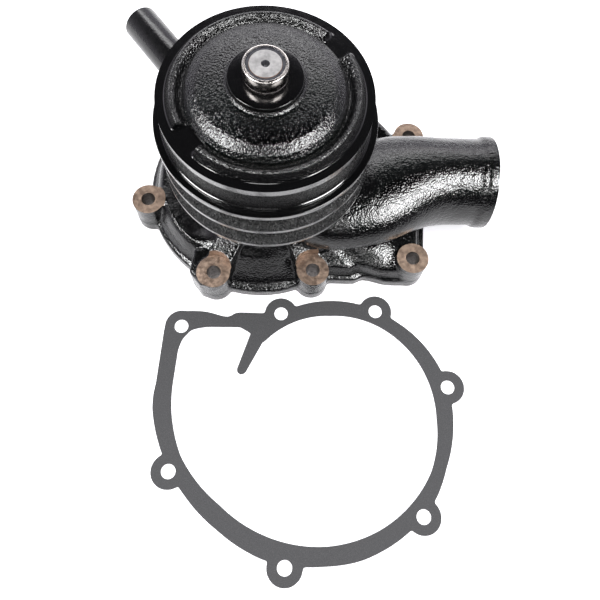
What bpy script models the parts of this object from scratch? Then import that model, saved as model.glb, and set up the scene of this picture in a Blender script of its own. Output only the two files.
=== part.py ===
"""Belt-driven coolant pump, built as separate pieces in metres, +Z up along the shaft.

The rear mounting face lies on z = 0 and the shaft axis is the world Z axis.
All dimensions below are millimetres and are scaled to metres when a mesh is made.
"""
import math

import bmesh
import bpy
import numpy as np
from mathutils import Matrix, Vector

MM = 0.001
GAP = 0.3                                   # clearance between touching pieces

# Flange bolt pattern: (x, y) of the seven holes
BOLTS = [(111.9, -55.8), (36.2, -68.3), (-37.1, -72.5), (-90.9, -14.6),
         (-68.8, 77.8), (28.3, 112.5), (112.5, 51.0)]
HOLE_R, LOBE_R, BOSS_R, BOSS_TOP, RELIEF_R = 5.25, 12.5, 12.1, 28.1, 13.4
FRONT_LUG = [(-55.5, -72.0), (-53.0, -54.0), (-45.0, -54.0), (-28.0, -64.0), (-37.0, -84.0),
             (-47.0, -82.5)]

# Volute spiral: angle in degrees against outer and inner radius of the flange band
OUTER_SPIRAL = [(-40, 76.0), (-91, 80.0), (-130, 84.0), (-171, 92.5), (-188, 94.5), (-207, 97.4),
                (-220, 102.0), (-258, 109.9), (-271, 111.2), (-292, 115.9), (-310, 117.0),
                (-326, 120.2), (-357, 128.2), (-363, 128.2)]
INNER_SPIRAL = [(-30, 66.0), (-92, 67.9), (-140, 74.5), (-187, 82.0), (-212, 89.1), (-246, 94.8),
                (-270, 98.4), (-295, 101.6), (-316, 104.5), (-339, 112.1), (-355, 114.2),
                (-366.5, 115.4)]
OUTLET_OUTER = [(0, 0), (128.1, 6.4), (124.4, -58.0), (112.5, -68.2), (90.0, -68.2),
                (87.0, -64.2), (75.0, -64.2), (72.0, -68.2), (30.0, -68.2)]
OUTLET_INNER = [(0, 0), (114.8, -10.0), (113.0, -37.4), (110.6, -45.5), (104.0, -53.5),
                (92.8, -56.0), (63.6, -56.5), (58.7, -52.0)]
TONGUE = [(56.3, -60.0), (68.1, -23.6), (67.3, -20.9), (64.9, -19.8), (62.4, -20.6),
          (61.2, -22.0), (48.2, -47.9), (42.0, -53.0), (33.0, -58.2), (36.0, -64.0)]
FLANGE_T = 9.0

# Shaft, bearings and barrel
SHAFT_R, SHAFT_Z0, SHAFT_Z1 = 12.5, 3.0, 168.3
SEAT_R, SEAT_Z = 13.3, 121.6                # larger pulley seat, which stops the front bearing
BARREL_R, BORE_R, BARREL_TOP = 38.0, 31.3, 126.5
BEARINGS = {"rear": 83.5, "front": 112.5}   # mid planes
BEAR_HALF_W, PITCH_R, BALL_R, BALLS = 8.5, 21.75, 5.3, 7

# Suction chamber, seal tower and inlet passage: x, y, z, half width, half height
CHAMBER_R, CHAMBER_WALL, CHAMBER_Z0, CHAMBER_Z1, ROOF_Z = 46.0, 5.0, 27.0, 65.0, 70.0
TOWER_R, TOWER_BORE, TOWER_Z0, SLING_R = 25.0, 18.5, 40.0, 24.0
INLET_OUT = [(167.0, 4.0, 40.0, 33.8, 33.8), (166.2, 4.0, 40.0, 34.5, 34.5),
             (160.0, 4.0, 40.0, 34.5, 34.5), (158.0, 4.0, 40.0, 32.8, 32.8),
             (146.0, 3.8, 40.0, 32.8, 32.8), (132.0, 3.0, 40.6, 33.2, 32.3),
             (114.0, 0.5, 44.0, 36.0, 29.0), (94.0, -5.5, 48.0, 39.0, 25.0),
             (72.0, -16.0, 49.0, 39.0, 23.5), (46.0, -26.0, 48.0, 34.0, 22.0),
             (24.0, -31.0, 48.0, 25.0, 20.0)]
INLET_IN = [(168.0, 4.0, 40.0, 28.5, 28.5), (146.0, 3.8, 40.0, 28.5, 28.5),
            (130.0, 2.0, 40.8, 28.3, 27.4), (112.0, -3.5, 44.0, 28.5, 24.2),
            (92.0, -11.0, 48.5, 28.5, 19.8), (70.0, -21.0, 48.8, 27.5, 18.0),
            (45.0, -29.0, 48.0, 22.0, 16.5), (24.0, -31.0, 47.5, 12.0, 13.0)]

# Bypass tube
BYPASS_DEG, BYPASS_Z, BYPASS_R, BYPASS_BORE, BYPASS_END = 129.0, 50.0, 14.0, 12.2, 170.0

# Gasket: lies turned half a turn, in front of the pump
GASKET_T, GASKET_AT = 0.8, (50.0, -163.0)

MATERIALS = {
    "black_paint": ((0.012, 0.012, 0.013), 0.25, 0.0),
    "machined_iron": ((0.23, 0.19, 0.16), 0.45, 0.9),
    "ground_steel": ((0.62, 0.60, 0.57), 0.25, 1.0),
    "bearing_steel": ((0.70, 0.70, 0.70), 0.18, 1.0),
    "cage_polymer": ((0.35, 0.24, 0.12), 0.55, 0.0),
    "seal_rubber": ((0.02, 0.02, 0.02), 0.60, 0.0),
    "ceramic": ((0.85, 0.83, 0.78), 0.30, 0.0),
    "carbon": ((0.05, 0.05, 0.055), 0.40, 0.0),
    "cast_iron": ((0.16, 0.16, 0.17), 0.60, 0.8),
    "gasket_fibre": ((0.07, 0.075, 0.08), 0.85, 0.0),
}


def material(name):
    found = bpy.data.materials.get(name)
    if found:
        return found
    colour, rough, metal = MATERIALS[name]
    made = bpy.data.materials.new(name)
    made.use_nodes = True
    shader = made.node_tree.nodes["Principled BSDF"]
    shader.inputs["Base Color"].default_value = (*colour, 1.0)
    shader.inputs["Roughness"].default_value = rough
    shader.inputs["Metallic"].default_value = metal
    return made


def mesh_object(name, verts, faces, mat="black_paint"):
    """One object from vertices in millimetres, normals facing out."""
    mesh = bpy.data.meshes.new(name)
    mesh.from_pydata([Vector(v) * MM for v in verts], [], faces)
    bm = bmesh.new()
    bm.from_mesh(mesh)
    bmesh.ops.recalc_face_normals(bm, faces=bm.faces)
    if bm.calc_volume(signed=True) < 0:
        bmesh.ops.reverse_faces(bm, faces=bm.faces)
    bm.to_mesh(mesh)
    bm.free()
    obj = bpy.data.objects.new(name, mesh)
    bpy.context.scene.collection.objects.link(obj)
    mesh.materials.append(material(mat))
    return obj


def lathe(name, profile, segs=36, mat="black_paint", centre=(0.0, 0.0, 0.0)):
    """Closed (r, z) profile turned about Z; points with r = 0 become poles."""
    verts, rows = [], []
    for r, z in profile:
        if r < 1e-6:
            rows.append([len(verts)] * segs)
            verts.append((centre[0], centre[1], centre[2] + z))
            continue
        rows.append(list(range(len(verts), len(verts) + segs)))
        for i in range(segs):
            a = 2 * math.pi * i / segs
            verts.append((centre[0] + r * math.cos(a), centre[1] + r * math.sin(a), centre[2] + z))
    return mesh_object(name, verts, skin_rows(rows, wrap=True), mat)


def skin_rows(rows, wrap):
    """Quads between successive rows of indices, with collapsed corners dropped."""
    faces = []
    count = len(rows)
    for k in range(count if wrap else count - 1):
        low, high = rows[k], rows[(k + 1) % count]
        for i in range(len(low)):
            j = (i + 1) % len(low)
            face = [low[i], low[j], high[j], high[i]]
            clean = [v for n, v in enumerate(face) if v != face[n - 1]]
            if len(set(clean)) >= 3:
                faces.append(clean)
    return faces


def rings_solid(name, rings, mat="black_paint"):
    """Solid through a list of equal rings of points, with flat end caps."""
    size = len(rings[0])
    verts = [p for ring in rings for p in ring]
    rows = [list(range(k * size, (k + 1) * size)) for k in range(len(rings))]
    sides = skin_rows(rows, wrap=False)
    if len(rings) > 2:                      # bent quads are split so the Booleans stay exact
        sides = [tri for a, b, c, d in sides for tri in ((a, b, c), (a, c, d))]
    return mesh_object(name, verts, sides + [rows[0][::-1], rows[-1]], mat)


def prism(name, outline, z0, z1, mat="black_paint"):
    return rings_solid(name, [[(x, y, z) for x, y in outline] for z in (z0, z1)], mat)


def circle(x, y, r, n):
    return [(x + r * math.cos(2 * math.pi * i / n), y + r * math.sin(2 * math.pi * i / n))
            for i in range(n)]


def rod(name, start, end, radius, segs=24, mat="black_paint"):
    """Cylinder between two points."""
    a, b = Vector(start), Vector(end)
    turn = (b - a).to_track_quat("Z", "Y").to_matrix()
    rings = [[p + turn @ Vector((x, y, 0.0)) for x, y in circle(0, 0, radius, segs)]
             for p in (a, b)]
    return rings_solid(name, rings, mat)


def combine(target, other, operation):
    """Exact Boolean with another object, which is used up."""
    mod = target.modifiers.new("combine", "BOOLEAN")
    mod.object, mod.operation, mod.solver = other, operation, "EXACT"
    graph = bpy.context.evaluated_depsgraph_get()
    fresh = bpy.data.meshes.new_from_object(target.evaluated_get(graph))
    target.modifiers.clear()
    target.data = fresh
    bpy.data.objects.remove(other)
    return target


def cut(target, *others):
    for other in others:
        combine(target, other, "DIFFERENCE")
    return target


def join(target, *others):
    for other in others:
        combine(target, other, "UNION")
    return target


def finish(obj, angle=35.0):
    """Weld slivers, drop zero-size faces and shade smooth with crisp edges kept."""
    bm = bmesh.new()
    bm.from_mesh(obj.data)
    bmesh.ops.remove_doubles(bm, verts=bm.verts, dist=2e-5)
    bmesh.ops.dissolve_degenerate(bm, edges=bm.edges, dist=1e-6)
    bmesh.ops.dissolve_limit(bm, angle_limit=math.radians(0.2), verts=bm.verts, edges=bm.edges)
    bm.to_mesh(obj.data)
    bm.free()
    obj.data.shade_smooth()
    obj.data.set_sharp_from_angle(angle=math.radians(angle))
    return obj


def ray_exit(theta, polygon):
    """Distance from the shaft axis at which a ray leaves a polygon."""
    dx, dy = math.cos(theta), math.sin(theta)
    best = 0.0
    for (x0, y0), (x1, y1) in zip(polygon, polygon[1:] + polygon[:1]):
        ex, ey = x1 - x0, y1 - y0
        det = ex * dy - ey * dx
        if abs(det) < 1e-9:
            continue
        dist = (ex * y0 - ey * x0) / det
        along = (dx * y0 - dy * x0) / det
        if -1e-9 <= along <= 1 + 1e-9:
            best = max(best, dist)
    return best


def spiral(theta, table):
    """Radius read from a table of falling angles."""
    deg = math.degrees(theta) % 360.0 - 360.0
    angles = np.array([a for a, _ in table][::-1], float)
    radii = np.array([r for _, r in table][::-1], float)
    if deg > angles[-1]:
        deg -= 360.0
    if deg < angles[0]:
        return 0.0
    return float(np.interp(deg, angles, radii))


def outer_radius(theta):
    return max(spiral(theta, OUTER_SPIRAL), ray_exit(theta, OUTLET_OUTER))


def inner_radius(theta):
    return max(spiral(theta, INNER_SPIRAL), ray_exit(theta, OUTLET_INNER), 66.0)


def angles(count):
    return [2 * math.pi * i / count for i in range(count)]


def polar_solid(name, thetas, profile):
    """Solid whose section at each angle is profile(theta) = (r, z) from base to top."""
    sections = [profile(t) for t in thetas]
    rings = [[(sec[k][0] * math.cos(t), sec[k][0] * math.sin(t), sec[k][1])
              for t, sec in zip(thetas, sections)] for k in range(len(sections[0]))]
    return rings_solid(name, rings)


def volute_section(theta):
    """Wall section: a ridge at the left and back, a slope in front, a low roof at the outlet."""
    ro, wall = outer_radius(theta), CHAMBER_R + CHAMBER_WALL
    ridge = [(ro, 0), (ro, FLANGE_T), (ro - 4.5, 10.5), (ro - 7.5, 21), (ro - 10, 27),
             (ro - 13.5, 30), (max(64, ro - 18), 28.5), (max(58, ro - 25), 26), (wall, 33)]
    slope = [(ro, 0), (ro, FLANGE_T), (ro - 5.5, 10.5), (ro - 9.5, 15), (ro - 13, 20),
             (ro - 16.5, 25.5), (ro - 19.5, 30), (56.5, 34), (wall, 44)]
    outlet = [(ro, 0), (ro, FLANGE_T), (ro - 5.5, 10), (ro - 6.5, 14), (ro - 8, 18.5),
              (ro - 12, 20.5), (ro - 22, 23), (62, 30), (wall, 35)]
    deg = (math.degrees(theta) + 180.0) % 360.0 - 180.0
    front = float(np.interp(deg, [-142, -122, -76, -62], [0, 1, 1, 0]))
    low = float(np.interp(deg, [-76, -62, -6, 10], [0, 1, 1, 0]))
    mix = ((1 - front - low) * np.array(ridge, float) + front * np.array(slope, float)
           + low * np.array(outlet, float))
    return [tuple(p) for p in mix] + [(wall, ROOF_Z - 4), (wall - 4, ROOF_Z),
                                      (BARREL_R, ROOF_Z + 0.6), (BARREL_R, BARREL_TOP - 1),
                                      (BARREL_R - 1, BARREL_TOP)]


def cavity_section(theta):
    ri = inner_radius(theta)
    steps = [(1.0, -2.0), (1.0, 7.0), (0.95, 12.5), (0.8, 17.0), (0.45, 20.2), (0.0, 20.4)]
    return [(58.0 + (ri - 58.0) * s, z) for s, z in steps] + [(20.0, 20.5)]


def sweep(name, stations, segs=24):
    """Tube body through stations whose sections stand upright across the path."""
    rings = []
    for i, (x, y, z, half_w, half_h) in enumerate(stations):
        x0, y0 = stations[max(i - 1, 0)][:2]
        x1, y1 = stations[min(i + 1, len(stations) - 1)][:2]
        run = Vector((x1 - x0, y1 - y0, 0.0)).normalized()
        side = Vector((-run.y, run.x, 0.0))
        rings.append([Vector((x, y, z)) + side * (half_w * math.cos(a))
                      + Vector((0, 0, half_h * math.sin(a))) for a in angles(segs)])
    return rings_solid(name, rings)


def bypass_point(r, z=BYPASS_Z):
    a = math.radians(BYPASS_DEG)
    return (r * math.cos(a), r * math.sin(a), z)


def web(name, start, end, z0, z1, half):
    """Upright rib between two plan points, with its top falling 8 mm on the way out."""
    a, b = Vector((*start, 0.0)), Vector((*end, 0.0))
    side = Vector((-(b - a).y, (b - a).x, 0.0)).normalized() * half
    base = [a - side, b - side, b + side, a + side]
    tops = (z1, z1 - 8.0, z1 - 8.0, z1)
    return rings_solid(name, [[p + Vector((0, 0, z0)) for p in base],
                              [p + Vector((0, 0, z)) for p, z in zip(base, tops)]])


def make_housing():
    body = polar_solid("pump_housing", angles(64), volute_section)
    for x, y in BOLTS:
        join(body, prism("lobe", circle(x, y, LOBE_R, 18), 0.0, FLANGE_T),
             prism("boss", circle(x, y, BOSS_R, 18), 0.5, BOSS_TOP + 2.0))
    join(body, sweep("inlet", INLET_OUT),
         rod("bypass_boss", bypass_point(36), bypass_point(80), 18.5),
         web("bypass_rib", bypass_point(48)[:2], bypass_point(78)[:2], 22.0, 42.0, 4.0),
         web("right_rib", (23.4, -44.2), (32.8, -62.0), 21.5, 42.0, 9.5),
         web("left_rib", (-22.8, -44.5), (-33.0, -64.5), 21.5, 42.0, 9.5),
         prism("lug", FRONT_LUG, 0.7, BOSS_TOP - 0.6))
    volute = polar_solid("volute", angles(64), cavity_section)
    cut(body, cut(volute, prism("tongue", TONGUE, -5.0, 30.0)),
        lathe("suction", [(0, CHAMBER_Z0), (CHAMBER_R, CHAMBER_Z0), (CHAMBER_R, CHAMBER_Z1 - 3),
                          (CHAMBER_R - 3, CHAMBER_Z1), (0, CHAMBER_Z1)], 40),
        lathe("eye", [(0, 15), (34, 15), (34, 30), (0, 30)], 40),
        sweep("inlet_bore", INLET_IN),
        rod("bypass_bore", bypass_point(40), bypass_point(90), BYPASS_R + GAP))
    join(body, lathe("tower", [(0, TOWER_Z0), (TOWER_R - 1, TOWER_Z0), (TOWER_R, TOWER_Z0 + 1),
                               (TOWER_R, 58), (30, 67), (0, 67)], 36))
    cut(body, lathe("bores", [(0, 30), (TOWER_BORE, 30), (TOWER_BORE, 66), (SLING_R, 66),
                              (SLING_R, 74.7), (BORE_R, 74.7), (BORE_R, 121.5), (32.6, 121.5),
                              (32.6, 123.8), (BORE_R, 123.8), (BORE_R, 130), (0, 130)], 40),
        rod("weep", (0, -20, 72.3), (0, -45, 72.3), 1.8, 12))
    for x, y in BOLTS:
        cut(body, prism("spot_face", circle(x, y, RELIEF_R, 24), BOSS_TOP, 38.0),
            prism("bolt_hole", circle(x, y, HOLE_R, 14), -5.0, 45.0))
    return finish(body)


def make_bypass():
    tube = rod("bypass_tube", bypass_point(47.5), bypass_point(BYPASS_END), BYPASS_R)
    cut(tube, rod("bore", bypass_point(40), bypass_point(BYPASS_END + 8), BYPASS_BORE))
    return finish(tube)


def make_gasket():
    thetas = angles(80)
    rim = [(outer_radius(t) * math.cos(t), outer_radius(t) * math.sin(t)) for t in thetas]
    sheet = prism("gasket", rim, 0.0, GASKET_T, "gasket_fibre")
    for x, y in BOLTS:
        join(sheet, prism("lobe", circle(x, y, LOBE_R, 18), 0.0, GASKET_T))
    inside = [(inner_radius(t) * math.cos(t), inner_radius(t) * math.sin(t)) for t in thetas]
    opening = prism("opening", inside, -3.0, 5.0)
    cut(sheet, cut(opening, prism("tongue", TONGUE, -6.0, 8.0)))
    for x, y in BOLTS:
        cut(sheet, prism("hole", circle(x, y, HOLE_R, 14), -3.0, 5.0))
    turn = Matrix.Rotation(math.pi, 4, "Z")
    sheet.data.transform(turn)
    finish(sheet)
    sheet.location = (GASKET_AT[0] * MM, GASKET_AT[1] * MM, 0.0)
    return sheet


def make_shaft():
    end = SHAFT_Z1
    profile = [(0, SHAFT_Z0), (11.5, SHAFT_Z0), (SHAFT_R, SHAFT_Z0 + 1), (SHAFT_R, SEAT_Z),
               (SEAT_R, SEAT_Z + 0.4), (SEAT_R, end - 1.8), (SEAT_R - 0.6, end - 0.6),
               (SEAT_R - 1.8, end), (11.4, end), (11.2, end - 0.4), (9.6, end - 0.4),
               (9.4, end - 0.1), (2.2, end - 0.1), (1.2, end - 2.0), (0, end - 5.0)]
    return finish(lathe("shaft", profile, 26, "ground_steel"))


PULLEY = [(SEAT_R + GAP, 128.0), (22.0, 128.0), (22.0, 141.0), (30.0, 145.8), (42.0, 142.5),
          (50.0, 134.0), (55.5, 126.0), (55.5, 76.2), (56.5, 75.2), (71.0, 75.2), (71.0, 78.4),
          (60.3, 83.4), (60.3, 90.4), (70.6, 94.9), (70.6, 98.0), (60.3, 103.2), (60.3, 110.2),
          (71.5, 115.9), (71.5, 119.6), (67.1, 120.0), (64.6, 135.8), (66.3, 136.6),
          (66.3, 141.2), (65.7, 141.8), (60.8, 141.8), (58.6, 143.9), (56.4, 145.0),
          (54.0, 144.5), (52.4, 143.0), (51.8, 141.8), (50.4, 141.8), (49.2, 146.0),
          (45.0, 149.6), (36.0, 151.8), (24.2, 153.4), (23.0, 154.4), (22.4, 157.2),
          (21.9, 157.7), (SEAT_R + GAP, 157.7)]
RING_GAPS = [(-152.5, -132.6), (31.0, 49.2)]


def make_pulley():
    pulley = lathe("pulley", PULLEY, 36)
    for start, stop in RING_GAPS:
        a0, a1 = math.radians(start), math.radians(stop)
        sector = [(r * math.cos(a), r * math.sin(a)) for r, a in
                  ((51.0, a0), (63, a0), (64, (a0 + a1) / 2), (63, a1), (51.0, a1),
                   (51.4, (a0 + a1) / 2))]
        cut(pulley, prism("milled_gap", sector, 141.8, 150.0))
    return finish(pulley)


def vane(index, count=6, steps=7):
    """Outline of one backward-curved vane."""
    left, right = [], []
    for i in range(steps):
        f = i / (steps - 1)
        r = 15.0 + 41.0 * f
        a = 2 * math.pi * index / count + 1.05 * f ** 0.9
        lean = a + 0.55 + 0.35 * f
        half = 1.7 if i < steps - 1 else 1.1
        nx, ny = -math.sin(lean) * half, math.cos(lean) * half
        x, y = r * math.cos(a), r * math.sin(a)
        left.append((x + nx, y + ny))
        right.append((x - nx, y - ny))
    return left + right[::-1]


def make_impeller():
    wheel = lathe("impeller", [(SHAFT_R + GAP, 3.0), (56.5, 3.0), (57.0, 3.5), (57.0, 6.5),
                               (30.0, 7.0), (19.0, 11.0), (18.0, 29.5), (17.5, 30.2),
                               (SHAFT_R + GAP, 30.2)], 36, "cast_iron")
    for i in range(6):
        join(wheel, prism("vane", vane(i), 4.0, 19.4))
    cut(wheel, prism("bore", circle(0, 0, SHAFT_R + GAP, 36), -3.0, 35.0))
    return finish(wheel)


def make_bearing(label, mid):
    w = BEAR_HALF_W
    inner = [(SHAFT_R + GAP, -w), (17.2, -w), (17.2, -2.9), (16.2, -1.6), (15.9, 0), (16.2, 1.6),
             (17.2, 2.9), (17.2, w), (SHAFT_R + GAP, w)]
    outer = [(BORE_R - GAP, -w), (BORE_R - GAP, w), (26.3, w), (26.3, 2.9), (27.3, 1.6),
             (27.6, 0), (27.3, -1.6), (26.3, -2.9), (26.3, -w)]
    at = (0.0, 0.0, mid)
    finish(lathe(label + "_bearing_inner_ring", inner, 28, "bearing_steel", at))
    finish(lathe(label + "_bearing_outer_ring", outer, 28, "bearing_steel", at))
    cage = lathe(label + "_bearing_cage", [(20.6, -6.9), (23.0, -6.9), (23.0, 6.9), (20.6, 6.9)],
                 28, "cage_polymer", at)
    for i in range(BALLS):
        a = 2 * math.pi * i / BALLS
        ux, uy = math.cos(a), math.sin(a)
        cut(cage, rod("pocket", (15 * ux, 15 * uy, mid), (28 * ux, 28 * uy, mid), 6.0, 10))
        ball(label, i + 1, (PITCH_R * ux, PITCH_R * uy, mid))
    finish(cage)


def ball(label, number, centre):
    bm = bmesh.new()
    bmesh.ops.create_icosphere(bm, subdivisions=2, radius=BALL_R * MM)
    bmesh.ops.translate(bm, verts=bm.verts, vec=Vector(centre) * MM)
    mesh = bpy.data.meshes.new("ball")
    bm.to_mesh(mesh)
    bm.free()
    obj = bpy.data.objects.new(f"{label}_bearing_ball_{number}", mesh)
    bpy.context.scene.collection.objects.link(obj)
    mesh.materials.append(material("bearing_steel"))
    obj.data.shade_smooth()


def make_shaft_trim():
    r = SHAFT_R + GAP
    finish(lathe("bearing_spacer", [(r, 92.3), (16.5, 92.3), (16.5, 103.7), (r, 103.7)], 26,
                 "ground_steel"))
    finish(lathe("water_slinger", [(r, 68.6), (17.0, 68.6), (21.0, 67.4), (21.5, 68.6),
                                   (18.0, 71.2), (r, 71.2)], 26, "ground_steel"))
    clip = lathe("bearing_circlip", [(28.4, 121.9), (32.2, 121.9), (32.2, 123.4), (28.4, 123.4)],
                 40, "bearing_steel")
    cut(clip, prism("clip_gap", [(-4, -40), (4, -40), (3, -20), (-3, -20)], 115.0, 130.0))
    for x in (-5.6, 5.6):
        join(clip, prism("clip_ear", circle(x, -27.6, 2.6, 12), 121.9, 123.4))
        cut(clip, prism("clip_hole", circle(x, -27.4, 1.1, 10), 118.0, 128.0))
    finish(clip)


def make_seal():
    finish(lathe("seal_case", [(18.2, 46.0), (18.2, 58.0), (13.6, 58.0), (13.6, 57.2),
                               (17.5, 57.2), (17.5, 46.0)], 26, "ground_steel"))
    finish(lathe("seal_bellows", [(15.3, 45.4), (14.6, 47.0), (15.5, 48.6), (14.6, 50.2),
                                  (15.5, 51.8), (14.6, 53.4), (15.5, 55.0), (15.5, 56.8),
                                  (13.5, 56.8), (13.5, 45.4)], 24, "seal_rubber"))
    finish(lathe("carbon_ring", [(13.4, 39.0), (15.6, 39.0), (16.0, 40.0), (17.4, 40.0),
                                 (17.4, 45.0), (13.4, 45.0)], 26, "carbon"))
    finish(lathe("ceramic_seat", [(13.4, 34.2), (17.4, 34.2), (17.4, 38.6), (13.4, 38.6)], 26,
                 "ceramic"))
    finish(lathe("seat_cup", [(13.2, 30.6), (18.7, 30.6), (18.9, 31.2), (18.9, 37.4),
                              (17.8, 37.4), (17.8, 33.8), (13.2, 33.8)], 26, "seal_rubber"))
    turns, per_turn, wire = 3.0, 14, 0.5
    rings = []
    for i in range(int(turns * per_turn) + 1):
        a = 2 * math.pi * i / per_turn
        z = 46.6 + 9.3 * i / (turns * per_turn)
        rings.append([((16.55 + wire * math.cos(b)) * math.cos(a),
                       (16.55 + wire * math.cos(b)) * math.sin(a), z + wire * math.sin(b))
                      for b in angles(5)])
    finish(rings_solid("seal_spring", rings, "ground_steel"), 80.0)


def clear_scene():
    for obj in list(bpy.data.objects):
        bpy.data.objects.remove(obj)


clear_scene()
make_housing()
make_bypass()
make_shaft()
make_pulley()
make_impeller()
for bearing, mid_plane in BEARINGS.items():
    make_bearing(bearing, mid_plane)
make_shaft_trim()
make_seal()
make_gasket()
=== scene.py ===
"""Studio scene of a belt-driven coolant pump with its loose gasket.

Tables below are in millimetres in the CAD frame; every mesh is made in metres.
"""
import math

import bmesh
import bpy
import numpy as np
from mathutils import Matrix, Vector


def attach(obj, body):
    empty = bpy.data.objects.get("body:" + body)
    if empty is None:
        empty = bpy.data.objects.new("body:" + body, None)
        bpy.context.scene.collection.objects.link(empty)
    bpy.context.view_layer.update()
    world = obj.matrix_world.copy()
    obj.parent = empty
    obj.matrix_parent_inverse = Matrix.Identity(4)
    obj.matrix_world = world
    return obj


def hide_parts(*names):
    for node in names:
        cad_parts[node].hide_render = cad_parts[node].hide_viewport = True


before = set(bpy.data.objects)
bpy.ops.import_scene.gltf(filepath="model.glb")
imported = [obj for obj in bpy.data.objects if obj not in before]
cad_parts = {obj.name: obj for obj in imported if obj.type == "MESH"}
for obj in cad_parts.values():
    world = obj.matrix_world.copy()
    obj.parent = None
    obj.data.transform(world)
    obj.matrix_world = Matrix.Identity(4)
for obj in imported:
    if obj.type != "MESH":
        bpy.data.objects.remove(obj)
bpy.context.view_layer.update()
MM = 0.001

BOLTS = [(111.9, -55.8), (36.2, -68.3), (-37.1, -72.5), (-90.9, -14.6),
         (-68.8, 77.8), (28.3, 112.5), (112.5, 51.0)]
HOLE_R, LOBE_R, BOSS_R, BOSS_TOP, FLANGE_T = 5.25, 12.5, 12.1, 28.1, 9.0
RELIEF_R = 13.4          # spot-face cutter round each boss
RELIEF_Y = -60.0         # bosses nearer than this show the cutter's mark
B2_LUG = [(-55.5, -72.0), (-53.0, -54.0), (-45.0, -54.0), (-28.0, -64.0), (-37.0, -84.0),
          (-47.0, -82.5)]
# Spirals are (angle in degrees, radius); the outlet corner is a plan outline round the axis.
OUTER_SPIRAL = [(-40, 76.0), (-91, 80.0), (-130, 84.0), (-171, 92.5), (-188, 94.5), (-207, 97.4),
                (-220, 102.0), (-258, 109.9), (-271, 111.2), (-292, 115.9), (-310, 117.0),
                (-326, 120.2), (-357, 128.2), (-363, 128.2)]
INNER_SPIRAL = [(-30, 66.0), (-92, 67.9), (-140, 74.5), (-187, 82.0), (-212, 89.1), (-246, 94.8),
                (-270, 98.4), (-295, 101.6), (-316, 104.5), (-339, 112.1), (-355, 114.2),
                (-366.5, 115.4)]
OUTLET_OUTER = [(0, 0), (128.1, 6.4), (124.4, -58.0), (112.5, -68.2), (90.0, -68.2),
                (87.0, -64.2), (75.0, -64.2), (72.0, -68.2), (30.0, -68.2)]
OUTLET_INNER = [(0, 0), (114.8, -10.0), (113.0, -37.4), (110.6, -45.5), (104.0, -53.5),
                (92.8, -56.0), (63.6, -56.5), (58.7, -52.0)]
TONGUE = [(56.3, -60.0), (68.1, -23.6), (67.3, -20.9), (64.9, -19.8), (62.4, -20.6),
          (61.2, -22.0), (48.2, -47.9), (42.0, -53.0), (33.0, -58.2), (36.0, -64.0)]
# Inlet stations: x, y, z, half width, half height.
INLET_OUT = [(168.5, 4.0, 40.0, 34.5, 34.5), (160.0, 4.0, 40.0, 34.5, 34.5),
             (158.0, 4.0, 40.0, 32.8, 32.8), (146.0, 3.8, 40.0, 32.8, 32.8),
             (132.0, 3.0, 40.6, 33.2, 32.3), (114.0, 0.5, 44.0, 36.0, 29.0),
             (94.0, -5.5, 48.0, 39.0, 25.0), (72.0, -16.0, 49.0, 39.0, 23.5),
             (46.0, -26.0, 48.0, 34.0, 22.0), (24.0, -31.0, 48.0, 25.0, 20.0)]
INLET_IN = [(172.0, 4.0, 40.0, 28.5, 28.5), (146.0, 3.8, 40.0, 28.5, 28.5),
            (130.0, 2.0, 40.8, 28.3, 27.4), (112.0, -3.5, 44.0, 28.5, 24.2),
            (92.0, -11.0, 48.5, 28.5, 19.8), (70.0, -21.0, 48.8, 27.5, 18.0),
            (45.0, -29.0, 48.0, 22.0, 16.5), (24.0, -31.0, 47.5, 12.0, 13.0)]
INLET_END = 167.0
BYPASS_DEG, BYPASS_Z = 129.0, 50.0
BYPASS_START, BYPASS_LENGTH, BYPASS_R = 47.5, 122.5, 14.0
GASKET_AT, GASKET_T = (50.0, -163.0), 0.8
BARREL_R, BARREL_TOP = 38.0, 126.5
SHAFT_END, SHAFT_R, SEAT_R = 168.3, 12.5, 13.3
RIM_TOP, HUB_TOP = 141.8, 157.7


# ---------------------------------------------------------------- materials

PAINT = (0.0028, 0.0028, 0.0031)


def new_material(name, colour, rough, metal=0.0):
    """Principled material, its node tree and its shader."""
    mat = bpy.data.materials.new(name)
    mat.use_nodes = True
    shader = mat.node_tree.nodes["Principled BSDF"]
    shader.inputs["Base Color"].default_value = (*colour, 1.0)
    shader.inputs["Roughness"].default_value = rough
    shader.inputs["Metallic"].default_value = metal
    shader.inputs["IOR"].default_value = 1.5
    return mat, mat.node_tree, shader


def noise(tree, scale, detail=3.0, stretch=(1.0, 1.0, 1.0), rough=0.5):
    """Noise in object space; scale is in features per metre."""
    coord = tree.nodes.new("ShaderNodeTexCoord")
    place = tree.nodes.new("ShaderNodeMapping")
    place.inputs["Scale"].default_value = stretch
    tex = tree.nodes.new("ShaderNodeTexNoise")
    tex.inputs["Scale"].default_value = scale
    tex.inputs["Detail"].default_value = detail
    tex.inputs["Roughness"].default_value = rough
    tree.links.new(coord.outputs["Object"], place.inputs["Vector"])
    tree.links.new(place.outputs["Vector"], tex.inputs["Vector"])
    return tex.outputs["Fac"]


def ramp(tree, value, stops):
    """Colour ramp from (position, colour) stops."""
    node = tree.nodes.new("ShaderNodeValToRGB")
    node.color_ramp.elements[0].position = stops[0][0]
    node.color_ramp.elements[0].color = (*stops[0][1], 1.0)
    node.color_ramp.elements[1].position = stops[-1][0]
    node.color_ramp.elements[1].color = (*stops[-1][1], 1.0)
    for pos, colour in stops[1:-1]:
        node.color_ramp.elements.new(pos).color = (*colour, 1.0)
    tree.links.new(value, node.inputs["Fac"])
    return node.outputs["Color"]


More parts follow.
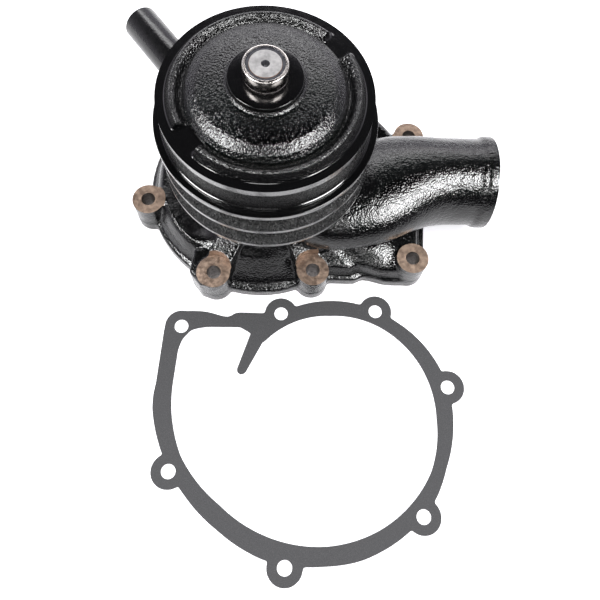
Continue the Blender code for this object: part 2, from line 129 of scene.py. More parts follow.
def span(tree, value, low, high):
    """Noise value stretched to run from low to high."""
    node = tree.nodes.new("ShaderNodeMapRange")
    node.inputs["From Min"].default_value = 0.3
    node.inputs["From Max"].default_value = 0.7
    node.inputs["To Min"].default_value = low
    node.inputs["To Max"].default_value = high
    tree.links.new(value, node.inputs["Value"])
    return node.outputs["Result"]


def bump(tree, shader, heights):
    """Chain of bumps from (height, distance in metres, strength)."""
    last = None
    for height, distance, strength in heights:
        node = tree.nodes.new("ShaderNodeBump")
        node.inputs["Distance"].default_value = distance
        node.inputs["Strength"].default_value = strength
        tree.links.new(height, node.inputs["Height"])
        if last is not None:
            tree.links.new(last, node.inputs["Normal"])
        last = node.outputs["Normal"]
    tree.links.new(last, shader.inputs["Normal"])


def cast_paint(name, grain, depth, rough, swell=1.0, gloss=0.5):
    """Gloss black paint over a sand-cast skin: grain of the given size on a slow swell."""
    mat, tree, shader = new_material(name, PAINT, rough)
    shader.inputs["Specular IOR Level"].default_value = gloss
    bump(tree, shader, [(noise(tree, 170.0, 2.0), 0.0010 * swell, 0.5),
                        (noise(tree, 1000.0 / grain, 1.5), 0.0011 * depth, 1.0),
                        (noise(tree, 2600.0 / grain, 1.0), 0.0002 * depth, 0.8)])
    tree.links.new(span(tree, noise(tree, 420.0), rough * 0.8, rough * 1.35),
                   shader.inputs["Roughness"])
    return mat


def smooth_paint(name, rough, coat=0.0, gloss=0.5):
    """Black paint over turned metal: faint waviness and dust."""
    mat, tree, shader = new_material(name, PAINT, rough)
    shader.inputs["Specular IOR Level"].default_value = gloss
    shader.inputs["Coat Weight"].default_value = coat
    shader.inputs["Coat Roughness"].default_value = rough
    bump(tree, shader, [(noise(tree, 60.0, 2.0), 0.0004, 0.25),
                        (noise(tree, 1100.0, 2.0), 0.00005, 0.5)])
    tree.links.new(span(tree, noise(tree, 150.0), rough * 0.8, rough * 1.5),
                   shader.inputs["Roughness"])
    return mat


def bare_metal(name, dark, light, rough, scale, stretch=(1.0, 1.0, 1.0), depth=0.00006,
               metal=1.0, turned=0.0):
    """Machined or ground metal with mottling and fine tool marks; turned spreads its glints."""
    mat, tree, shader = new_material(name, light, rough, metal)
    if turned > 0.0:
        shader.inputs["Anisotropic"].default_value = turned
        around = tree.nodes.new("ShaderNodeTangent")
        around.direction_type, around.axis = "RADIAL", "Z"
        tree.links.new(around.outputs["Tangent"], shader.inputs["Tangent"])
    tree.links.new(ramp(tree, noise(tree, scale, 5.0, rough=0.6),
                        [(0.34, dark), (0.62, light)]), shader.inputs["Base Color"])
    tree.links.new(span(tree, noise(tree, scale * 1.7, 3.0), rough * 0.7, rough * 1.4),
                   shader.inputs["Roughness"])
    bump(tree, shader, [(noise(tree, scale * 4.0, 3.0, stretch), depth, 0.8)])
    return mat


CAST = cast_paint("cast_paint", 1.25, 0.32, 0.14, 0.8)
DOME = cast_paint("dome_paint", 1.2, 0.46, 0.15, 0.3)
COARSE = cast_paint("coarse_cast_paint", 1.35, 0.75, 0.17)
SLOPE = cast_paint("ring_slope_paint", 1.2, 0.50, 0.20, 0.3, 0.12)
GROOVE = cast_paint("groove_paint", 1.1, 0.80, 0.24, 0.1, 0.16)
SMOOTH = smooth_paint("smooth_paint", 0.09)
LAND = smooth_paint("land_paint", 0.24, 1.0, 0.9)
TUBE = cast_paint("tube_paint", 1.6, 0.10, 0.20, 0.2)
IRON = bare_metal("machined_iron", (0.16, 0.108, 0.078), (0.33, 0.238, 0.178), 0.40, 260.0,
                  depth=0.00010, metal=0.5)
HOLE = bare_metal("drilled_iron", (0.10, 0.085, 0.075), (0.22, 0.19, 0.17), 0.42, 300.0,
                  metal=0.5)
STEEL = bare_metal("ground_steel", (0.36, 0.335, 0.32), (0.56, 0.525, 0.50), 0.22, 120.0,
                   (1.0, 1.0, 14.0), 0.00002, turned=0.8)
DISC = bare_metal("faced_steel", (0.24, 0.235, 0.235), (0.40, 0.39, 0.39), 0.42, 240.0,
                  metal=0.3)
# Near-black material for the shaft's lowered step ring; on the centre hole it is painted shade.
DARK_STEP_AND_HOLE_SHADE = bare_metal("dark_step_and_hole_shade", (0.02, 0.02, 0.025), (0.05, 0.05, 0.06), 0.38, 300.0,
                      metal=0.3)
RUST = bare_metal("rust_line", (0.10, 0.045, 0.02), (0.20, 0.10, 0.06), 0.7, 500.0, metal=0.2)
BEARING = bare_metal("bearing_steel", (0.50, 0.50, 0.50), (0.74, 0.74, 0.74), 0.16, 90.0,
                     (1.0, 1.0, 10.0), 0.00002)
RAWCAST = bare_metal("raw_cast_iron", (0.055, 0.05, 0.048), (0.16, 0.15, 0.14), 0.6, 420.0,
                     depth=0.0004, metal=0.7)
CERAMIC = bare_metal("seal_ceramic", (0.74, 0.71, 0.64), (0.86, 0.84, 0.80), 0.25, 120.0,
                     metal=0.0)
CARBON = bare_metal("seal_carbon", (0.02, 0.02, 0.022), (0.05, 0.05, 0.055), 0.38, 260.0,
                    metal=0.0)
RUBBER = bare_metal("seal_rubber", (0.012, 0.012, 0.012), (0.028, 0.028, 0.028), 0.6, 300.0,
                    metal=0.0)
CAGE = bare_metal("cage_polymer", (0.22, 0.14, 0.06), (0.36, 0.25, 0.12), 0.5, 200.0, metal=0.0)


def fibre_material():
    """Dark grey pressed fibre sheet with pale flecks."""
    mat, tree, shader = new_material("gasket_fibre", (0.07, 0.075, 0.08), 0.85)
    fleck = noise(tree, 1500.0, 4.0, rough=0.75)
    tree.links.new(ramp(tree, fleck, [(0.32, (0.026, 0.026, 0.029)),
                                      (0.55, (0.043, 0.043, 0.047)),
                                      (0.74, (0.080, 0.080, 0.088))]),
                   shader.inputs["Base Color"])
    bump(tree, shader, [(noise(tree, 1100.0, 3.0), 0.00012, 0.7)])
    return mat


FIBRE = fibre_material()


# ---------------------------------------------------------------- mesh helpers

def mesh_object(name, verts, faces, mats, slots=None):
    """Object from millimetre vertices, with outward normals."""
    mesh = bpy.data.meshes.new(name)
    mesh.from_pydata([Vector(v) * MM for v in verts], [], faces)
    for mat in mats:
        mesh.materials.append(mat)
    if slots is not None:
        mesh.polygons.foreach_set("material_index", slots)
    bm = bmesh.new()
    bm.from_mesh(mesh)
    bmesh.ops.recalc_face_normals(bm, faces=bm.faces)
    if bm.calc_volume(signed=True) < 0:
        bmesh.ops.reverse_faces(bm, faces=bm.faces)
    bm.to_mesh(mesh)
    bm.free()
    obj = bpy.data.objects.new(name, mesh)
    bpy.context.scene.collection.objects.link(obj)
    return obj


def skin_rows(rows, wrap):
    """Quads between rows of indices, with the row each came from."""
    faces, source = [], []
    for k in range(len(rows) if wrap else len(rows) - 1):
        low, high = rows[k], rows[(k + 1) % len(rows)]
        for i in range(len(low)):
            j = (i + 1) % len(low)
            face = [low[i], low[j], high[j], high[i]]
            clean = [v for n, v in enumerate(face) if v != face[n - 1]]
            if len(set(clean)) >= 3:
                faces.append(clean)
                source.append(k)
    return faces, source


def rings_solid(name, rings, mat=CAST):
    """Solid skinned over a stack of equal rings, with flat ends."""
    size = len(rings[0])
    rows = [list(range(k * size, (k + 1) * size)) for k in range(len(rings))]
    faces, _ = skin_rows(rows, False)
    return mesh_object(name, [p for ring in rings for p in ring],
                       faces + [rows[0][::-1], rows[-1]], [mat])


def prism(name, outline, z0, z1, mat=CAST):
    """Plan outline raised from z0 to z1."""
    return rings_solid(name, [[(x, y, z) for x, y in outline] for z in (z0, z1)], mat)


def angles(count):
    return [2 * math.pi * i / count for i in range(count)]


def circle(x, y, r, n=64):
    return [(x + r * math.cos(a), y + r * math.sin(a)) for a in angles(n)]


def lathe(name, profile, segs=96, mats=(CAST,), zones=None):
    """Closed (r, z) profile turned about Z; zones gives a material slot per profile step."""
    verts, rows = [], []
    for r, z in profile:
        if r < 1e-6:
            rows.append([len(verts)] * segs)
            verts.append((0.0, 0.0, z))
        else:
            rows.append(list(range(len(verts), len(verts) + segs)))
            verts += [(r * math.cos(a), r * math.sin(a), z) for a in angles(segs)]
    faces, source = skin_rows(rows, True)
    slots = [zones[k] for k in source] if zones else None
    return mesh_object(name, verts, faces, list(mats), slots)


def round_corners(points, closed=True):
    """Points (r, z, fillet, tag) to a rounded profile and the tag of each step."""
    out, tags = [], []
    count = len(points)
    for i, (r, z, fillet, tag) in enumerate(points):
        here = np.array([r, z])
        before = np.array(points[i - 1][:2])
        after = np.array(points[(i + 1) % count][:2])
        if fillet <= 0 or (not closed and i in (0, count - 1)):
            out.append((r, z))
            tags.append(tag)
            continue
        to_b, to_a = before - here, after - here
        len_b, len_a = np.linalg.norm(to_b), np.linalg.norm(to_a)
        to_b, to_a = to_b / len_b, to_a / len_a
        half = math.acos(max(-1.0, min(1.0, float(to_b @ to_a)))) / 2
        reach = min(fillet / math.tan(half), 0.45 * len_b, 0.45 * len_a)
        steps = 3 if fillet < 1.0 else 7
        p0, p2 = here + to_b * reach, here + to_a * reach
        for s in range(steps + 1):
            t = s / steps
            point = (1 - t) ** 2 * p0 + 2 * t * (1 - t) * here + t * t * p2
            out.append((max(0.0, float(point[0])), float(point[1])))
            tags.append(points[i - 1][3] if s < steps // 2 else tag)
    return out, tags


def rod(name, start, end, radius, segs=64, mat=CAST):
    """Cylinder between two points."""
    a, b = Vector(start), Vector(end)
    turn = (b - a).to_track_quat("Z", "Y").to_matrix()
    return rings_solid(name, [[p + turn @ Vector((x, y, 0.0)) for x, y in
                               circle(0, 0, radius, segs)] for p in (a, b)], mat)


def smooth_stations(stations, per=4):
    """Stations interpolated by a Catmull-Rom curve."""
    pts = np.array(stations, float)
    out = []
    for i in range(len(pts) - 1):
        p0, p1, p2, p3 = pts[max(i - 1, 0)], pts[i], pts[i + 1], pts[min(i + 2, len(pts) - 1)]
        for s in range(per):
            t = s / per
            out.append(0.5 * (2 * p1 + (p2 - p0) * t + (2 * p0 - 5 * p1 + 4 * p2 - p3) * t * t
                              + (3 * p1 - p0 - 3 * p2 + p3) * t ** 3))
    return out + [pts[-1]]


def sweep(name, stations, segs=64):
    """Upright ellipses along a plan curve through stations (x, y, z, half width, half height)."""
    rings = []
    stations = smooth_stations(stations)
    for i, (x, y, z, half_w, half_h) in enumerate(stations):
        x0, y0 = stations[max(i - 1, 0)][:2]
        x1, y1 = stations[min(i + 1, len(stations) - 1)][:2]
        run = Vector((x1 - x0, y1 - y0, 0.0)).normalized()
        side = Vector((-run.y, run.x, 0.0))
        rings.append([Vector((x, y, z)) + side * (half_w * math.cos(a))
                      + Vector((0, 0, half_h * math.sin(a))) for a in angles(segs)])
    return rings_solid(name, rings)


def apply_modifiers(obj):
    """Bake the modifier stack into the mesh."""
    graph = bpy.context.evaluated_depsgraph_get()
    fresh = bpy.data.meshes.new_from_object(obj.evaluated_get(graph))
    obj.modifiers.clear()
    obj.data = fresh
    return obj


def combine(target, other, operation):
    """Boolean of two solids; the second is used up."""
    mod = target.modifiers.new("combine", "BOOLEAN")
    mod.object, mod.operation, mod.solver = other, operation, "MANIFOLD"
    apply_modifiers(target)
    bpy.data.objects.remove(other)
    return target


def cut(target, *others):
    for other in others:
        combine(target, other, "DIFFERENCE")
    return target


def merge(objs, name):
    """Several overlapping solids as one object, for a voxel union."""
    bm = bmesh.new()
    for obj in objs:
        bm.from_mesh(obj.data)
        bpy.data.objects.remove(obj)
    mesh = bpy.data.meshes.new(name)
    bm.to_mesh(mesh)
    bm.free()
    obj = bpy.data.objects.new(name, mesh)
    bpy.context.scene.collection.objects.link(obj)
    return obj


def soften(obj, voxel, rounds):
    """Voxel union, then smoothing that rounds edges and fills corners like a casting."""
    mod = obj.modifiers.new("union", "REMESH")
    mod.mode, mod.voxel_size = "VOXEL", voxel * MM
    mod = obj.modifiers.new("fillet", "SMOOTH")
    mod.factor, mod.iterations = 0.5, rounds
    return apply_modifiers(obj)


def shade(obj, angle):
    """Smooth shading with sharp edges above the angle."""
    obj.data.shade_smooth()
    obj.data.set_sharp_from_angle(angle=math.radians(angle))
    return obj


# ---------------------------------------------------------------- outlines

def ray_exit(theta, polygon):
    """Farthest distance at which a ray from the axis crosses the polygon."""
    dx, dy = math.cos(theta), math.sin(theta)
    best = 0.0
    for (x0, y0), (x1, y1) in zip(polygon, polygon[1:] + polygon[:1]):
        ex, ey = x1 - x0, y1 - y0
        det = ex * dy - ey * dx
        if abs(det) > 1e-9 and -1e-9 <= (dx * y0 - dy * x0) / det <= 1 + 1e-9:
            best = max(best, (ex * y0 - ey * x0) / det)
    return best


def spiral(theta, table):
    """Radius of a spiral table at an angle, 0 outside it."""
    deg = math.degrees(theta) % 360.0 - 360.0
    knots = [a for a, _ in table][::-1]
    radii = [r for _, r in table][::-1]
    if deg > knots[-1]:
        deg -= 360.0
    return 0.0 if deg < knots[0] else float(np.interp(deg, knots, radii))


def polar_table(function, count=360, blur=5):
    """Radius at evenly spaced angles, with the table's kinks eased out."""
    raw = np.array([function(t) for t in angles(count)])
    kernel = np.hanning(blur + 2)[1:-1]
    kernel /= kernel.sum()
    half = blur // 2
    return np.convolve(np.concatenate([raw[-half:], raw, raw[:half]]), kernel, "valid")


OUTER = polar_table(lambda t: max(spiral(t, OUTER_SPIRAL), ray_exit(t, OUTLET_OUTER)))
INNER = polar_table(lambda t: max(spiral(t, INNER_SPIRAL), ray_exit(t, OUTLET_INNER), 66.0),
                    blur=3)


def polar_outline(radii):
    return [(r * math.cos(t), r * math.sin(t)) for r, t in zip(radii, angles(len(radii)))]


def polar_solid(name, radii, profile):
    """Solid whose wall section, profile(radius, angle), follows a table of radii."""
    thetas, radii = angles(len(radii))[::2], radii[::2]
    sections = [profile(r, t) for r, t in zip(radii, thetas)]
    return rings_solid(name, [[(sec[k][0] * math.cos(t), sec[k][0] * math.sin(t), sec[k][1])
                               for t, sec in zip(thetas, sections)]
                              for k in range(len(sections[0]))])


def bypass_point(r, z=BYPASS_Z):
    """Point on the bypass tube's axis at a distance from the shaft."""
    a = math.radians(BYPASS_DEG)
    return (r * math.cos(a), r * math.sin(a), z)


# ---------------------------------------------------------------- housing

def volute_section(ro, theta):
    """Wall section: a ridge at the left and back, a slope in front, a low roof at the outlet."""
    ridge = [(ro, -3), (ro, 9), (ro - 3, 10), (ro - 5.5, 13), (ro - 7.5, 21), (ro - 10, 27),
             (ro - 13.5, 30), (max(64, ro - 18), 28.5), (max(58, ro - 25), 25.8), (54, 27),
             (51, 33)]
    slope = [(ro, -3), (ro, 9), (ro - 4, 9.8), (ro - 6.5, 11.5), (ro - 9.5, 15), (ro - 13, 20),
             (ro - 16.5, 25.5), (ro - 19.5, 30), (56.5, 34), (53.5, 38), (51, 44)]
    outlet = [(ro, -3), (ro, 9), (ro - 5, 9.6), (ro - 6.5, 14), (ro - 8, 18.5), (ro - 12, 20.5),
              (ro - 22, 23), (max(66, ro - 36), 27), (62, 30), (56, 31), (51, 35)]
    deg = (math.degrees(theta) + 180.0) % 360.0 - 180.0
    front = float(np.interp(deg, [-142, -122, -76, -62], [0, 1, 1, 0]))
    low = float(np.interp(deg, [-76, -62, -6, 10], [0, 1, 1, 0]))
    mix = ((1 - front - low) * np.array(ridge, float) + front * np.array(slope, float)
           + low * np.array(outlet, float))
    return [tuple(p) for p in mix] + [(51.0, 66.0), (47.0, 70.0), (BARREL_R, 70.6),
                                      (BARREL_R, 127.5), (20.0, 127.5)]


def cavity_section(ri, _theta):
    """Section of the volute channel, narrowing towards its roof."""
    steps = [(1.0, -6.0), (1.0, 7.0), (0.95, 12.5), (0.8, 17.0), (0.45, 20.2), (0.0, 20.4)]
    return [(58.0 + (ri - 58.0) * s, z) for s, z in steps] + [(20.0, 20.5)]


def web(name, start, end, z0, z1, half, fall):
    """Upright rib between two plan points, with its top falling on the way out."""
    a, b = Vector((*start, 0.0)), Vector((*end, 0.0))
    side = Vector((-(b - a).y, (b - a).x, 0.0)).normalized() * half
    base = [a - side, b - side, b + side, a + side]
    return rings_solid(name, [[p + Vector((0, 0, z0)) for p in base],
                              [p + Vector((0, 0, z1 if n in (0, 3) else z1 - fall))
                               for n, p in enumerate(base)]])


def make_housing():
    """Casting as a softened union, then its cores, bores and machined faces."""
    parts = [polar_solid("volute", OUTER, volute_section),
             sweep("inlet", INLET_OUT),
             rod("bypass_boss", bypass_point(36), bypass_point(80), 18.5),
             web("bypass_rib", bypass_point(48)[:2], bypass_point(78)[:2], 22.0, 42.0, 4.0, 8.0),
             web("rib_b3", (23.4, -44.2), (32.8, -62.0), 8.0, 42.0, 9.5, 5.5),
             web("rib_b2", (-22.8, -44.5), (-33.0, -64.5), 8.0, 42.0, 9.5, 5.5),
             prism("lug", B2_LUG, -3.0, 27.5)]
    for x, y in BOLTS:
        parts += [prism("lobe", circle(x, y, LOBE_R), -3.0, FLANGE_T),
                  prism("boss", circle(x, y, BOSS_R), 0.0, BOSS_TOP + 2.5)]
        r = math.hypot(x, y)
        back = ((r - 14.0) / r * x, (r - 14.0) / r * y)
        parts.append(prism("boss_root", circle(*back, BOSS_R - 1.5), 0.0, 22.0))
    body = soften(merge(parts, "pump_body"), 1.15, 7)
    hollow = cut(polar_solid("volute_core", INNER, cavity_section),
                 prism("tongue", TONGUE, -10.0, 32.0))
    chamber = merge([lathe("suction", [(0, 27.0), (46.0, 27.0), (46.0, 62.0), (43.0, 65.0),
                                       (0, 65.0)]), sweep("inlet_core", INLET_IN)], "core")
    chamber = soften(chamber, 1.3, 3)
    cut(chamber, lathe("tower", [(0, 40.0), (24.0, 40.0), (25.0, 41.0), (25.0, 58.0),
                                 (30.0, 80.0), (0, 80.0)]))
    cut(body, soften(hollow, 1.3, 3), chamber,
        lathe("eye", [(0, 12.0), (34.0, 12.0), (34.0, 30.0), (0, 30.0)]),
        rod("bypass_bore", bypass_point(40), bypass_point(90), 14.3),
        lathe("bores", [(0, 30.0), (18.5, 30.0), (18.5, 66.0), (24.0, 66.0), (24.0, 74.7),
                        (31.3, 74.7), (31.3, 121.5), (32.6, 121.5), (32.6, 123.8),
                        (31.3, 123.8), (31.3, 126.0), (32.0, 126.6), (32.0, 140.0), (0, 140.0)]),
        prism("below", [(-200, -200), (200, -200), (200, 200), (-200, 200)], -30.0, 0.0),
        prism("barrel_face", circle(0, 0, 52.0, 96), BARREL_TOP, 150.0),
        prism("inlet_face", [(INLET_END, -60), (220, -60), (220, 60), (INLET_END, 60)],
              -20.0, 100.0),
        rod("weep", (0, -20, 72.3), (0, -45, 72.3), 1.8, 24))
    for x, y in BOLTS:
        cut(body, prism("spot_face", circle(x, y, RELIEF_R), BOSS_TOP, 38.0),
            prism("bolt_hole", circle(x, y, HOLE_R, 48), -5.0, 45.0))
    return colour_housing(shade(body, 38.0))


def colour_housing(obj):
    """Bare metal on the turned faces, paint everywhere else."""
    mesh = obj.data
    mesh.materials.clear()
    for mat in (CAST, IRON, HOLE):
        mesh.materials.append(mat)
    count = len(mesh.polygons)
    centre, normal = np.empty(count * 3), np.empty(count * 3)
    mesh.polygons.foreach_get("center", centre)
    mesh.polygons.foreach_get("normal", normal)
    centre, normal = centre.reshape(-1, 3) / MM, normal.reshape(-1, 3)
    slots = np.zeros(count, dtype=np.int32)
    slots[(centre[:, 2] < 0.05) & (normal[:, 2] < -0.9)] = 1
    slots[(np.abs(centre[:, 2] - BARREL_TOP) < 0.05) & (normal[:, 2] > 0.9)] = 1
    bore = np.hypot(centre[:, 0], centre[:, 1])
    slots[(bore < 33.0) & (centre[:, 2] > 66.0)] = 1
    for x, y in BOLTS:
        away = np.hypot(centre[:, 0] - x, centre[:, 1] - y)
        high = centre[:, 2] > BOSS_TOP - 0.05
        on_top = high & (centre[:, 2] < BOSS_TOP + 0.05) & (normal[:, 2] > 0.9)
        slots[on_top & (away < (RELIEF_R if y < RELIEF_Y else BOSS_R) + 0.3)] = 1
        if y < RELIEF_Y:
            slots[high & (np.abs(away - RELIEF_R) < 0.1) & (np.abs(normal[:, 2]) < 0.1)] = 1
        slots[(away < HOLE_R + 0.1) & (np.abs(normal[:, 2]) < 0.3)] = 2
    mesh.polygons.foreach_set("material_index", slots)
    return obj


# ---------------------------------------------------------------- pulley

# Zones are material slots of the pulley, except RINGZ, which is settled by angle and radius.
PULLEY_PAINTS = [COARSE, DOME, SMOOTH, GROOVE, LAND, SLOPE]
CASTZ, DOMEZ, SMOOTHZ, GROOVEZ, LANDZ, SLOPEZ, RINGZ = 0, 1, 2, 3, 4, 5, 6
# Profiles are (r, z, fillet, zone of the step that follows).
PULLEY = [(13.6, 128.0, 0.4, SMOOTHZ), (22.0, 128.0, 0.8, CASTZ), (22.0, 141.0, 5.0, CASTZ),
          (30.0, 145.8, 6.0, CASTZ), (42.0, 142.5, 6.0, CASTZ), (50.0, 134.0, 6.0, CASTZ),
          (55.5, 126.0, 4.0, CASTZ), (55.5, 76.2, 0.0, CASTZ), (56.5, 75.2, 0.0, SMOOTHZ),
          (71.0, 75.2, 0.5, LANDZ), (71.0, 78.4, 0.4, GROOVEZ), (60.3, 83.4, 1.0, GROOVEZ),
          (60.3, 90.4, 1.0, GROOVEZ), (70.6, 94.9, 0.5, LANDZ), (70.6, 98.0, 0.5, GROOVEZ),
          (60.3, 103.2, 1.0, GROOVEZ), (60.3, 110.2, 1.0, GROOVEZ), (71.5, 115.9, 0.5, LANDZ),
          (71.5, 119.6, 0.5, SMOOTHZ), (67.2, 119.8, 0.3, SMOOTHZ), (67.0, 121.0, 0.3, SMOOTHZ),
          (66.2, 121.4, 0.4, GROOVEZ), (64.9, 136.0, 0.4, SMOOTHZ),
          (66.3, 136.8, 0.4, LANDZ), (66.3, RIM_TOP, 0.6, SMOOTHZ)]
# The cast ring: radius and height above the rim.
RING = [(61.7, 0.0), (61.2, 0.0), (60.5, 0.5), (59.7, 1.5), (58.8, 2.7), (57.9, 3.9),
        (57.3, 4.6), (56.6, 5.0), (55.7, 5.0), (54.7, 4.5), (53.6, 3.3), (52.7, 1.9),
        (51.8, 0.6), (51.0, 0.1)]
RING_FOOT, RING_CREST = 61.0, 57.5
DOME_TOP = [(50.4, 141.9, 0.8, DOMEZ), (49.8, 145.0, 2.0, DOMEZ), (47.0, 148.2, 3.0, DOMEZ),
            (41.5, 151.3, 6.0, DOMEZ), (33.0, 152.8, 8.0, DOMEZ), (24.4, 153.5, 1.4, DOMEZ),
            (23.0, 154.8, 1.0, SMOOTHZ), (22.4, HUB_TOP, 0.5, SMOOTHZ),
            (13.6, HUB_TOP, 0.3, SMOOTHZ)]
GAPS = [(-152.5, -132.6), (31.0, 49.2)]


def band_height(theta):
    """1 on the raised ring, easing to 0 inside the two milled gaps."""
    deg = (math.degrees(theta) + 180.0) % 360.0 - 180.0
    height = 1.0
    for start, stop in GAPS:
        inside = min(deg - start, stop - deg)
        height = min(height, 1.0 - min(1.0, max(0.0, inside / 1.2 + 0.5)))
    return height


def make_pulley(segs=360):
    """Skirt, cast ring and dome as one turned solid; only the ring's height varies by angle."""
    skirt, skirt_tags = round_corners(PULLEY, closed=False)
    dome, dome_tags = round_corners(DOME_TOP, closed=False)
    profile = skirt + [(r, RIM_TOP) for r, _ in RING] + dome
    lifts = [0.0] * len(skirt) + [lift for _, lift in RING] + [0.0] * len(dome)
    verts = []
    for (r, z), lift in zip(profile, lifts):
        for a in angles(segs):
            gap = band_height(a) if lift > 0 else 1.0
            verts.append((r * math.cos(a), r * math.sin(a), z + lift * gap))
    rows = [list(range(k * segs, (k + 1) * segs)) for k in range(len(profile))]
    faces, source = skin_rows(rows, True)
    tags = skirt_tags + [RINGZ] * len(RING) + dome_tags
    slots = []
    for n, k in enumerate(source):
        tag = tags[k]
        if tag == RINGZ:
            theta = 2 * math.pi * (n % segs) / segs
            if band_height(theta) <= 0.4 or profile[k][0] > RING_FOOT:
                tag = SMOOTHZ
            else:
                tag = SLOPEZ if profile[k][0] > RING_CREST else CASTZ
        slots.append(tag)
    return shade(mesh_object("pulley_body", verts, faces, PULLEY_PAINTS, slots), 34.0)


# ---------------------------------------------------------------- small parts

def make_shaft():
    """Ground shaft with a scribed line, rounded end, dark step, faced disc and centre hole; the
    centre hole is painted near black as painted shade.
    """
    end = SHAFT_END
    points = [(0.0, 3.0, 0.0, 0), (SHAFT_R, 3.0, 0.8, 0), (SHAFT_R, 121.6, 0.0, 0),
              (SEAT_R, 122.0, 0.0, 0), (SEAT_R, end - 9.0, 0.0, 0), (13.15, end - 8.8, 0.0, 0),
              (SEAT_R, end - 8.6, 0.0, 0), (SEAT_R, end, 2.0, 0), (11.45, end, 0.2, 1),
              (11.2, end - 0.5, 0.0, 1), (9.65, end - 0.5, 0.0, 2), (9.4, end - 0.12, 0.1, 3),
              (2.4, end - 0.12, 0.4, 1), (1.4, end - 2.2, 0.0, 1), (0.0, end - 5.0, 0.0, 1)]
    profile, tags = round_corners(points, closed=False)
    # Slot 1 paints the step ring near black, and the centre hole too as painted shade.
    obj = lathe("shaft_body", profile, 128, (STEEL, DARK_STEP_AND_HOLE_SHADE, RUST, DISC, HOLE), tags)
    return shade(obj, 40.0)


def make_gasket():
    """Sheet with the flange's outline, softened as a thick block and then sliced thin."""
    parts = [prism("rim", polar_outline(OUTER), -6.0, 7.0)]
    parts += [prism("lobe", circle(x, y, LOBE_R), -6.0, 7.0) for x, y in BOLTS]
    sheet = soften(merge(parts, "gasket_sheet"), 0.8, 8)
    opening = cut(prism("opening", polar_outline(INNER), -10.0, 10.0),
                  prism("tongue", TONGUE, -14.0, 14.0))
    cut(sheet, soften(opening, 0.8, 4))
    for x, y in BOLTS:
        cut(sheet, prism("hole", circle(x, y, HOLE_R, 48), -12.0, 12.0))
    slab = prism("slab", [(-170, -120), (170, -120), (170, 160), (-170, 160)], 0.0, GASKET_T)
    combine(slab, sheet, "INTERSECT")
    slab.name = "gasket_sheet"
    slab.data.transform(Matrix.Translation((GASKET_AT[0] * MM, GASKET_AT[1] * MM, 0.0))
                        @ Matrix.Rotation(math.pi, 4, "Z"))
    slab.data.materials.clear()
    slab.data.materials.append(FIBRE)
    slab.data.polygons.foreach_set("material_index", [0] * len(slab.data.polygons))
    return shade(slab, 40.0)


def make_bypass():
    """Steel tube with a rounded lip, made along Z, then laid on its axis."""
    points = [(12.2, 0.0, 0.0, 0), (BYPASS_R, 0.0, 0.3, 0), (BYPASS_R, BYPASS_LENGTH, 0.9, 0),
              (12.2, BYPASS_LENGTH, 0.9, 0)]
    profile, tags = round_corners(points, closed=False)
    obj = lathe("bypass_pipe", profile, 96, (TUBE,), tags)
    turn = (Vector(bypass_point(1, 0)).to_track_quat("Z", "Y")).to_matrix().to_4x4()
    obj.data.transform(Matrix.Translation(Vector(bypass_point(BYPASS_START)) * MM) @ turn)
    return shade(obj, 40.0)


def dress_hidden_nodes():
    """Materials for the pieces that keep their CAD meshes."""
    looks = {"impeller": RAWCAST, "bearing_spacer": STEEL, "water_slinger": STEEL,
             "seal_case": STEEL, "seal_spring": STEEL, "bearing_circlip": BEARING,
             "seal_bellows": RUBBER, "seat_cup": RUBBER, "carbon_ring": CARBON,
             "ceramic_seat": CERAMIC, "rear_bearing_cage": CAGE, "front_bearing_cage": CAGE}
    for name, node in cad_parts.items():
        mat = looks.get(name, BEARING)
        for slot in node.material_slots:
            slot.material = mat


SOFTBOX_AWAY = 1.3


def add_light(name, place, target, size, power):
    """White rectangular light aimed at a target."""
    light = bpy.data.lights.new(name, "AREA")
    light.shape, light.size, light.size_y = "RECTANGLE", size[0], size[1]
    light.energy = power
    obj = bpy.data.objects.new(name, light)
    obj.location = place
    obj.rotation_euler = (Vector(target) - Vector(place)).to_track_quat("-Z", "Y").to_euler()
    bpy.context.scene.collection.objects.link(obj)
    return obj


def softbox(name, azimuth, elevation, size, power):
    """Light that shows in gloss only, aimed at the pulley from an azimuth and elevation."""
    a, e = math.radians(azimuth), math.radians(elevation)
    away, target = SOFTBOX_AWAY, Vector((0.0, 0.0, 0.14))
    place = target + Vector((away * math.cos(e) * math.cos(a), away * math.cos(e) * math.sin(a),
                             away * math.sin(e)))
    add_light(name, place, target, size, power).visible_diffuse = False


def make_floor():
    """White light table, bright enough to glow in the paint above it."""
    half, level = 3.0, -0.0002
    mesh = bpy.data.meshes.new("floor")
    mesh.from_pydata([(-half, -half, level), (half, -half, level), (half, half, level),
                      (-half, half, level)], [], [(0, 1, 2, 3)])
    floor = bpy.data.objects.new("floor", mesh)
    bpy.context.scene.collection.objects.link(floor)
    mat, tree, shader = new_material("floor_white", (0.9, 0.9, 0.9), 0.9)
    tree.links.new(ramp(tree, noise(tree, 3.0), [(0.3, (0.88, 0.88, 0.88)),
                                                 (0.7, (0.91, 0.91, 0.91))]),
                   shader.inputs["Base Color"])
    shader.inputs["Specular IOR Level"].default_value = 0.1
    shader.inputs["Emission Color"].default_value = (0.97, 0.96, 1.0, 1.0)
    shader.inputs["Emission Strength"].default_value = 0.8
    mesh.materials.append(mat)


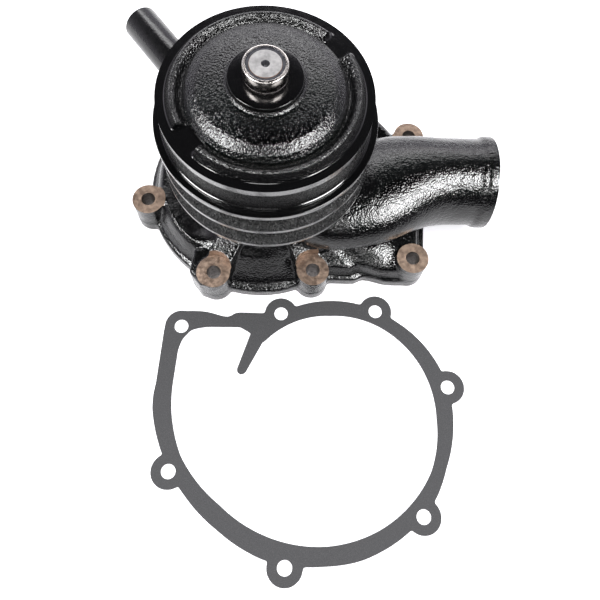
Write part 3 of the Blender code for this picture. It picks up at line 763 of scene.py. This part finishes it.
def make_stage():
    """Floor, a world that darkens upwards, one fill light and four softboxes."""
    make_floor()
    scene = bpy.context.scene
    scene.view_settings.view_transform = "Standard"
    world = bpy.data.worlds.new("studio")
    scene.world = world
    world.use_nodes = True
    tree = world.node_tree
    coord = tree.nodes.new("ShaderNodeTexCoord")
    height = tree.nodes.new("ShaderNodeVectorMath")  # height of a direction, less at the back
    height.operation = "DOT_PRODUCT"
    height.inputs[1].default_value = (0.0, -0.45, 1.0)
    tree.links.new(coord.outputs["Generated"], height.inputs[0])
    sky = ramp(tree, height.outputs["Value"],
               [(0.0, (0.95, 0.92, 1.02)), (0.25, (0.55, 0.53, 0.60)),
                (0.45, (0.08, 0.08, 0.09)), (0.70, (0.02, 0.02, 0.022)),
                (1.0, (0.012, 0.012, 0.012))])
    tree.links.new(sky, tree.nodes["Background"].inputs["Color"])
    tree.nodes["Background"].inputs["Strength"].default_value = 1.0
    fill = add_light("top_fill", (0.0, 0.1, 1.6), (0.0, -0.05, 0.0), (2.2, 2.2), 46.0)
    fill.visible_glossy = False
    softbox("softbox_left", -156.0, 46.0, (0.62, 0.55), 42.0)
    softbox("softbox_right", -29.0, 47.0, (0.62, 0.50), 40.0)
    softbox("softbox_front", -92.0, 44.0, (0.50, 0.16), 2.6)
    softbox("softbox_back", 86.0, 33.0, (1.3, 0.32), 8.0)


def make_camera():
    """Close view from above the near side, as a product shot would be framed."""
    right = Vector((0.99888, 0.02088, 0.04249))
    up = Vector((-0.03439, 0.93678, 0.34823))
    back = Vector((-0.03253, -0.34931, 0.93644))
    basis = Matrix((right, up, back)).transposed()
    data = bpy.data.cameras.new("camera")
    data.sensor_width, data.sensor_height, data.sensor_fit = 36.0, 36.0, "HORIZONTAL"
    data.lens = 36.0 * 650.0 / 600.0 * 0.925
    camera = bpy.data.objects.new("camera", data)
    tilt = Matrix.Rotation(math.radians(-2.2), 3, "X")
    camera.matrix_world = (Matrix.Translation(Vector((12.30, -230.05, 446.30)) * MM)
                           @ (basis @ tilt).to_4x4())
    bpy.context.scene.collection.objects.link(camera)
    bpy.context.scene.camera = camera


def build():
    """Finer meshes in place of five CAD nodes, and materials for the rest."""
    pieces = [(make_housing, "housing", "pump_housing", "painted_casting"),
              (make_bypass, "housing", "bypass_tube", "painted_tube"),
              (make_pulley, "rotor", "pulley", "painted_casting"),
              (make_shaft, "rotor", "shaft", "ground_steel"),
              (make_gasket, "gasket", "gasket", "gasket_fibre")]
    for maker, body, node, slot in pieces:
        obj = maker()
        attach(obj, body)
        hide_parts(node)
    dress_hidden_nodes()


build()
make_stage()
make_camera()
